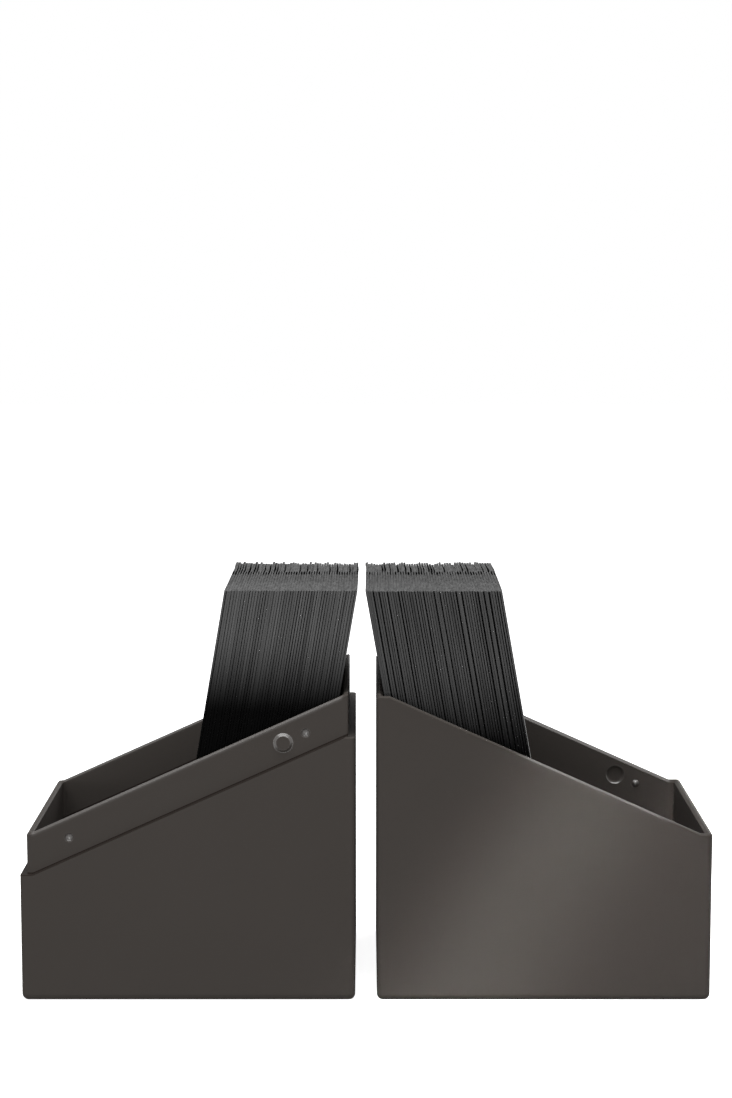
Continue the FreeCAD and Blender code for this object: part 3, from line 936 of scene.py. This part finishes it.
@dataclass
class Deck:
    """A deck of sleeved cards that stands in one half and leans on its tall end wall.

    The packets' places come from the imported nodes. Sizes are in millimetres, angles in degrees.
    """

    name: str
    lean: float
    towards: int
    seed: int
    film: SleeveFilm
    lips: SleeveLips
    # The cards' edges bunch in groups of so many, with up to this much more gap between them.
    bunches: tuple[int, ...]
    bunch_gap: float
    # The thinnest and the thickest side edges, as shares of the card's own.
    edge_shares: Span
    packets: int = 10
    cards: int = 5
    card: SleevedCard = field(default_factory=SleevedCard)
    lift: float = 0.1
    stagger: float = 0.1
    back_rise: float = 0.3
    # How much of the bunch gap a bunch takes.
    bunch_shares: Span = (0.3, 1.0)
    # Share of the mouths that gape at the wall, and at the deck's other end. The rest are shut.
    gape_shares: Span = (0.12, 0.6)
    # Shares of the modelled slot's width, at its mark and behind it where a mouth gapes or is shut.
    mark_shares: Span = (0.45, 1.1)
    open_shares: Span = (1.1, 1.8)
    shut_shares: Span = (0.1, 0.45)

    def node(self, number: int) -> str:
        """Names the CAD node of a packet, counted from 1."""
        return f"{self.name}_packet_{number:02d}"

    def pitch(self) -> float:
        """Measures the distance along X from card to card, in metres."""
        first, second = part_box(self.node(1))[0].x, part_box(self.node(2))[0].x
        return abs(second - first) / self.cards

    def foot(self, number: int) -> Vector:
        """Finds the middle of the foot of a packet's first card, the furthest one from the wall.

        Args:
            number: The packet, counted from 1.

        Returns:
            The place, in metres.
        """
        low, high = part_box(self.node(number))
        angle = math.radians(self.lean)
        inset = mm(self.card.body / 2 * math.cos(angle) - self.card.seam * math.sin(angle))
        x = low.x + inset if self.towards > 0 else high.x - inset
        return Vector((x, 0, low.z + mm(self.card.foot / 2 * math.sin(angle))))

    def poses(self) -> list[CardPose]:
        """Draws how each card stands.

        Returns:
            The poses, from the wall outwards along the whole deck.
        """
        chance = random.Random(self.seed)
        total = self.packets * self.cards
        shifts: list[float] = []
        while len(shifts) < total:
            size = chance.choice(self.bunches)
            gap = self.bunch_gap * chance.uniform(*self.bunch_shares)
            shifts += [gap * (0.5 - i / (size - 1)) for i in range(size)]
        return [
            CardPose(
                slide=chance.gauss(0, self.stagger),
                lift=chance.uniform(0, self.lift),
                back_rise=chance.uniform(-1, 1) * self.back_rise,
                edge_shift=shift,
                edge_share=chance.uniform(*self.edge_shares),
                mark=chance.uniform(*self.mark_shares),
                gape=self._gape(chance, i / total),
            )
            for i, shift in enumerate(shifts[:total])
        ]

    def _gape(self, chance: random.Random, out: float) -> float:
        """Draws how far one mouth gapes.

        Args:
            chance: The deck's random numbers.
            out: How far out in the deck the card stands, from 0 at the wall to 1.

        Returns:
            A share of the modelled slot's width.
        """
        near, far = self.gape_shares
        if chance.random() < near + (far - near) * out * out:
            return chance.uniform(*self.open_shares)
        return chance.uniform(*self.shut_shares)

    def build(self) -> list[bpy.types.Object]:
        """Makes one piece for each packet, made of changed copies of one modelled card.

        Returns:
            The pieces, one for each CAD node they replace.
        """
        poses = self.poses()
        master = self.card.build(self.film, self.lips)
        lean = Matrix.Rotation(math.radians(self.lean) * self.towards, 4, "Y")
        pieces = []
        for number in range(1, self.packets + 1):
            copies = []
            for i in range(self.cards):
                # The first packet is the one at the wall, and its first card is its outermost.
                pose = poses[number * self.cards - 1 - i]
                mesh = self.card.posed(master, pose)
                offset = Vector((self.towards * self.pitch() * i, 0, 0))
                mesh.transform(Matrix.Translation(self.foot(number) + offset) @ lean)
                copies.append(bpy.data.objects.new(f"{self.name}_card", mesh))
            pieces.append(self._join(number, copies))
        bpy.data.meshes.remove(master)
        return pieces

    def _join(self, number: int, copies: list[bpy.types.Object]) -> bpy.types.Object:
        """Joins a packet's cards to one piece that stands for its CAD node.

        Args:
            number: The packet, counted from 1.
            copies: Its cards.

        Returns:
            The piece.
        """
        deselect_all()
        for copy in copies:
            bpy.context.scene.collection.objects.link(copy)
            copy.select_set(True)
        bpy.context.view_layer.objects.active = copies[0]
        bpy.ops.object.join()
        piece = bpy.context.active_object
        piece.name = f"{self.name}_sleeves_{number:02d}"
        piece.data.name = piece.name
        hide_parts(self.node(number))
        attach(piece, self.name)
        return piece


# ---------------------------------------------------------------- shells


@dataclass
class Shell:
    """A half of the box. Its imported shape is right, so it only gets its finish."""

    node: str
    finish: Finish

    def dress(self) -> bpy.types.Object:
        """Puts the finish on the half.

        Returns:
            The half.
        """
        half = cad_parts[self.node]
        for slot in half.material_slots:
            slot.material = self.finish.material()
        return half


# ---------------------------------------------------------------- studio


@dataclass
class Softbox:
    """A soft lamp: a rectangle that looks at a point. Metres, watts and degrees."""

    name: str
    place: Point
    aim: Point
    size: Span
    power: float
    spread: float = 180.0
    turn: float = 0.0
    # A narrow beam lights surfaces directly only, so that it leaves no bright specks elsewhere.
    direct: bool = False

    def build(self) -> None:
        """Adds the lamp, turned to its aim and then about its own axis."""
        lamp = bpy.data.lights.new(self.name, "AREA")
        lamp.shape = "RECTANGLE"
        lamp.size, lamp.size_y = self.size
        lamp.energy = self.power
        lamp.spread = math.radians(self.spread)
        if self.direct:
            lamp.cycles.max_bounces = 0
        holder = bpy.data.objects.new(self.name, lamp)
        look = (Vector(self.aim) - Vector(self.place)).to_track_quat("-Z", "Y").to_matrix().to_4x4()
        turn = Matrix.Rotation(math.radians(self.turn), 4, "Z")
        holder.matrix_world = Matrix.Translation(self.place) @ look @ turn
        holder.visible_camera = False
        bpy.context.scene.collection.objects.link(holder)


@dataclass
class Studio:
    """The floor, the lamps, the white surround and the camera. Metres, watts and degrees."""

    floor_size: float = 6.0
    # Strength of the surround where it lights the object. As a background it is white.
    fill: float = 0.4
    # Y and height of the slanted beam and of its aim on the lid's front, its length and its turn.
    beam_stand: Span = (-0.42, 0.43)
    beam_aim: Span = (-0.0377, 0.04)
    beam_length: float = 0.2
    beam_turn: float = -43.0
    camera_place: Point = (0.0, -0.7179, 0.1629)
    camera_pitch: float = -9.403
    lens_mm: float = 101.75
    sensor_mm: float = 36.0
    shift_up: float = 0.2105

    def lamps(self) -> list[Softbox]:
        """Places the lamps.

        Returns:
            The soft lamps, and the slanted beam across the lid's front.
        """
        low, middle, high = (0.0, 0.0, 0.03), (0.0, 0.0, 0.04), (0.0, 0.0, 0.05)
        return [
            Softbox("overhead", place=(0.0, -0.15, 0.8), aim=high, size=(1.2, 0.26), power=7.5),
            Softbox("front_fill", place=(-0.25, -1.0, 0.55), aim=middle, size=(0.7, 0.5), power=3.0),
            Softbox("low_fill", place=(-0.1, -1.0, 0.05), aim=low, size=(0.8, 0.08), power=3.3),
            Softbox("back_fill", place=(0.6, 0.8, 0.4), aim=middle, size=(0.7, 0.5), power=6.0),
            self._beam("beam_core", x=0.047, breadth=0.016, power=0.023, spread=4.0),
            self._beam("beam_wing", x=0.069, breadth=0.05, power=0.017, spread=6.0),
        ]

    def _beam(self, name: str, x: float, breadth: float, power: float, spread: float) -> Softbox:
        """Places a narrow slanted lamp that grazes the lid's front.

        Args:
            name: The lamp's name.
            x: How far to the right of the middle it stands and aims.
            breadth: Its breadth.
            power: Its power.
            spread: The angle over which it spreads.

        Returns:
            The lamp.
        """
        return Softbox(
            name,
            place=(x, *self.beam_stand),
            aim=(x, *self.beam_aim),
            size=(breadth, self.beam_length),
            power=power,
            spread=spread,
            turn=self.beam_turn,
            direct=True,
        )

    def build(self) -> None:
        """Builds the whole studio."""
        self._floor()
        for lamp in self.lamps():
            lamp.build()
        self._surround()
        self._camera()

    def _floor(self) -> None:
        """Lays the paper that the object stands on."""
        deselect_all()
        bpy.ops.mesh.primitive_plane_add(size=self.floor_size, location=(0, 0, 0))
        floor = bpy.context.active_object
        floor.name = "studio_floor"
        floor.data.materials.append(StudioPaper("paper_matt_white").material())

    def _surround(self) -> None:
        """Sets a world that is white as a background and gives a weaker, even light."""
        world = bpy.data.worlds.new("white_surround")
        world.use_nodes = True
        tree = world.node_tree
        tree.nodes.clear()
        strengths = {"Value": shows_background(tree)} | spans((0.0, 1.0), (self.fill, 1.0))
        level = add_node(tree, "ShaderNodeMapRange", strengths).outputs["Result"]
        glow = add_node(tree, "ShaderNodeBackground", {"Color": linear(WHITE), "Strength": level})
        add_node(tree, "ShaderNodeOutputWorld", {"Surface": glow.outputs["Background"]})
        bpy.context.scene.world = world

    def _camera(self) -> None:
        """Sets the camera in front of the object, a little above it."""
        lens = bpy.data.cameras.new("front_view")
        lens.sensor_fit = "VERTICAL"
        lens.sensor_height = self.sensor_mm
        lens.lens = self.lens_mm
        lens.shift_y = self.shift_up
        camera = bpy.data.objects.new("front_view", lens)
        camera.location = self.camera_place
        camera.rotation_euler = (math.radians(90 + self.camera_pitch), 0, 0)
        bpy.context.scene.collection.objects.link(camera)
        bpy.context.scene.camera = camera


# ---------------------------------------------------------------- the whole picture


def main() -> None:
    """Dresses the halves, builds both decks and sets up the studio."""
    logging.basicConfig(level=logging.INFO, format="%(name)s: %(message)s")
    bpy.context.scene.view_settings.view_transform = "Standard"
    for shell in (Shell("base_shell", BASE_FINISH), Shell("lid_shell", LID_FINISH)):
        log.info("dressed %s", shell.dress().name)
    decks = (
        Deck(
            "deck_a",
            lean=9.8,
            towards=1,
            seed=11,
            film=SleeveFilm("sleeve_film_base_half", lean=9.8),
            lips=SleeveLips("sleeve_lips_base_half", lean=9.8),
            bunches=(3, 4, 5, 7, 9),
            bunch_gap=0.14,
            edge_shares=(0.8, 1.06),
        ),
        Deck(
            "deck_b",
            lean=10.1,
            towards=-1,
            seed=23,
            film=SleeveFilm(
                "sleeve_film_lid_half", high_hex="#525252", shade_full_mm=54.0, shade_gone_mm=78.0, lean=-10.1
            ),
            lips=SleeveLips("sleeve_lips_lid_half", lean=-10.1),
            bunches=(2, 2, 3, 3, 4, 6),
            bunch_gap=0.3,
            edge_shares=(0.6, 1.0),
            gape_shares=(0.25, 0.5),
        ),
    )
    for deck in decks:
        for piece in deck.build():
            log.info("built %s with %d faces", piece.name, len(piece.data.polygons))
    Studio().build()


if __name__ == "__main__":
    main()
